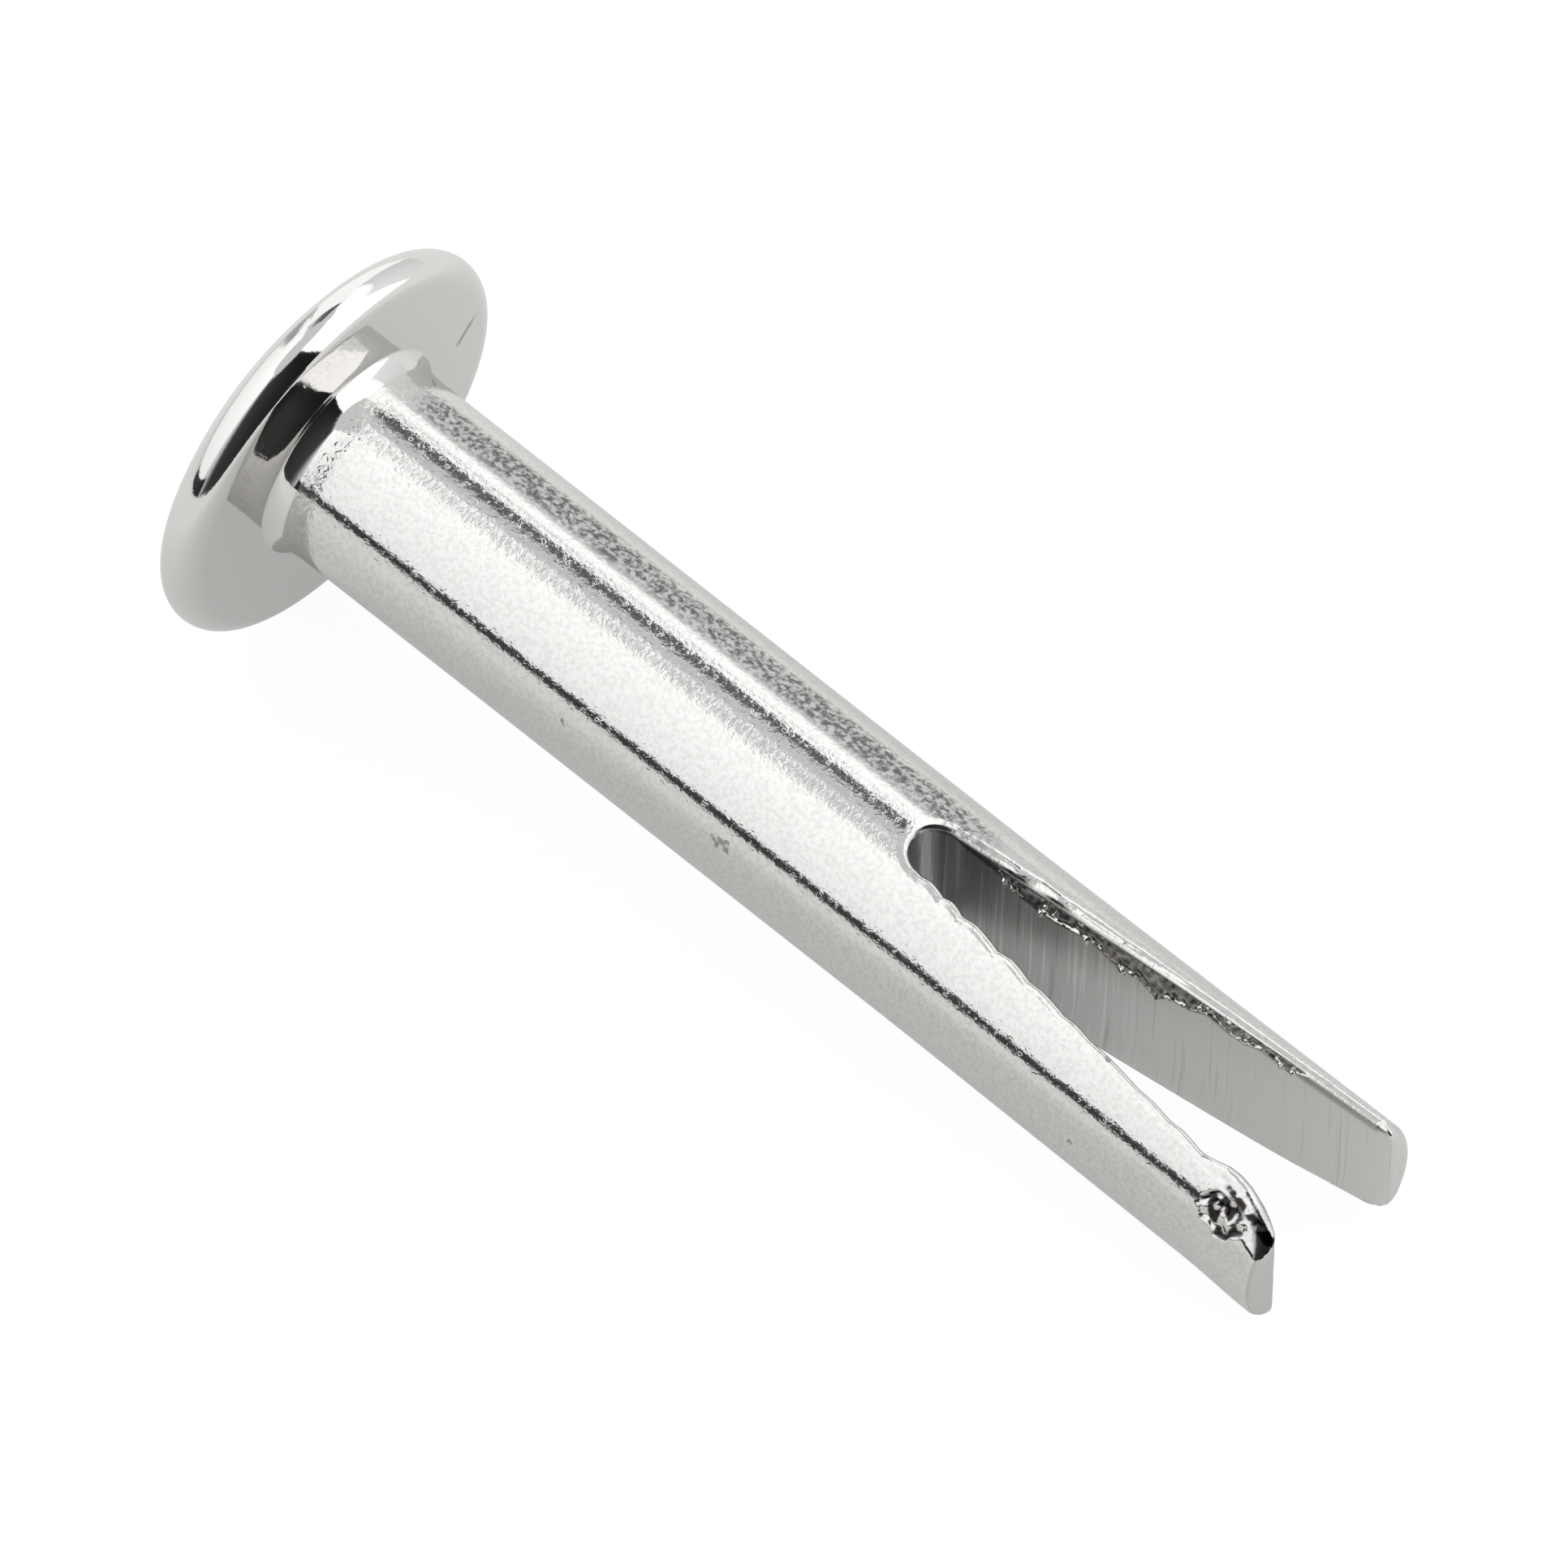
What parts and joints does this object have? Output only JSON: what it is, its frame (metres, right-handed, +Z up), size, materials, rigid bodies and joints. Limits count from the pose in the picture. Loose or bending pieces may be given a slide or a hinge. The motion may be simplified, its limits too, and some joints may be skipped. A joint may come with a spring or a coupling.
{
  "type": "split rivet",
  "caption": "Domed head on a round shank, slotted lengthwise from its end into tapered prongs that are spread and clinched to fasten sheet material.",
  "frame": {"origin": "centre of the bottom of the rivet's box, on the surface it lies on", "axes": "+X from the head towards the tips, +Y across the slot, from prong to prong, +Z up; the shank leans down 6.28 degrees towards the tips, as the rivet lies on its head's rim and its two tips"},
  "size_m": [0.0236, 0.0074, 0.0075],
  "materials": {
    "nickel": "bright nickel plate over steel, mirror-like on the head and fine satin on the shank and prongs"
  },
  "bodies": {
    "root": {"rivet": "nickel"}
  },
  "joints": []
}
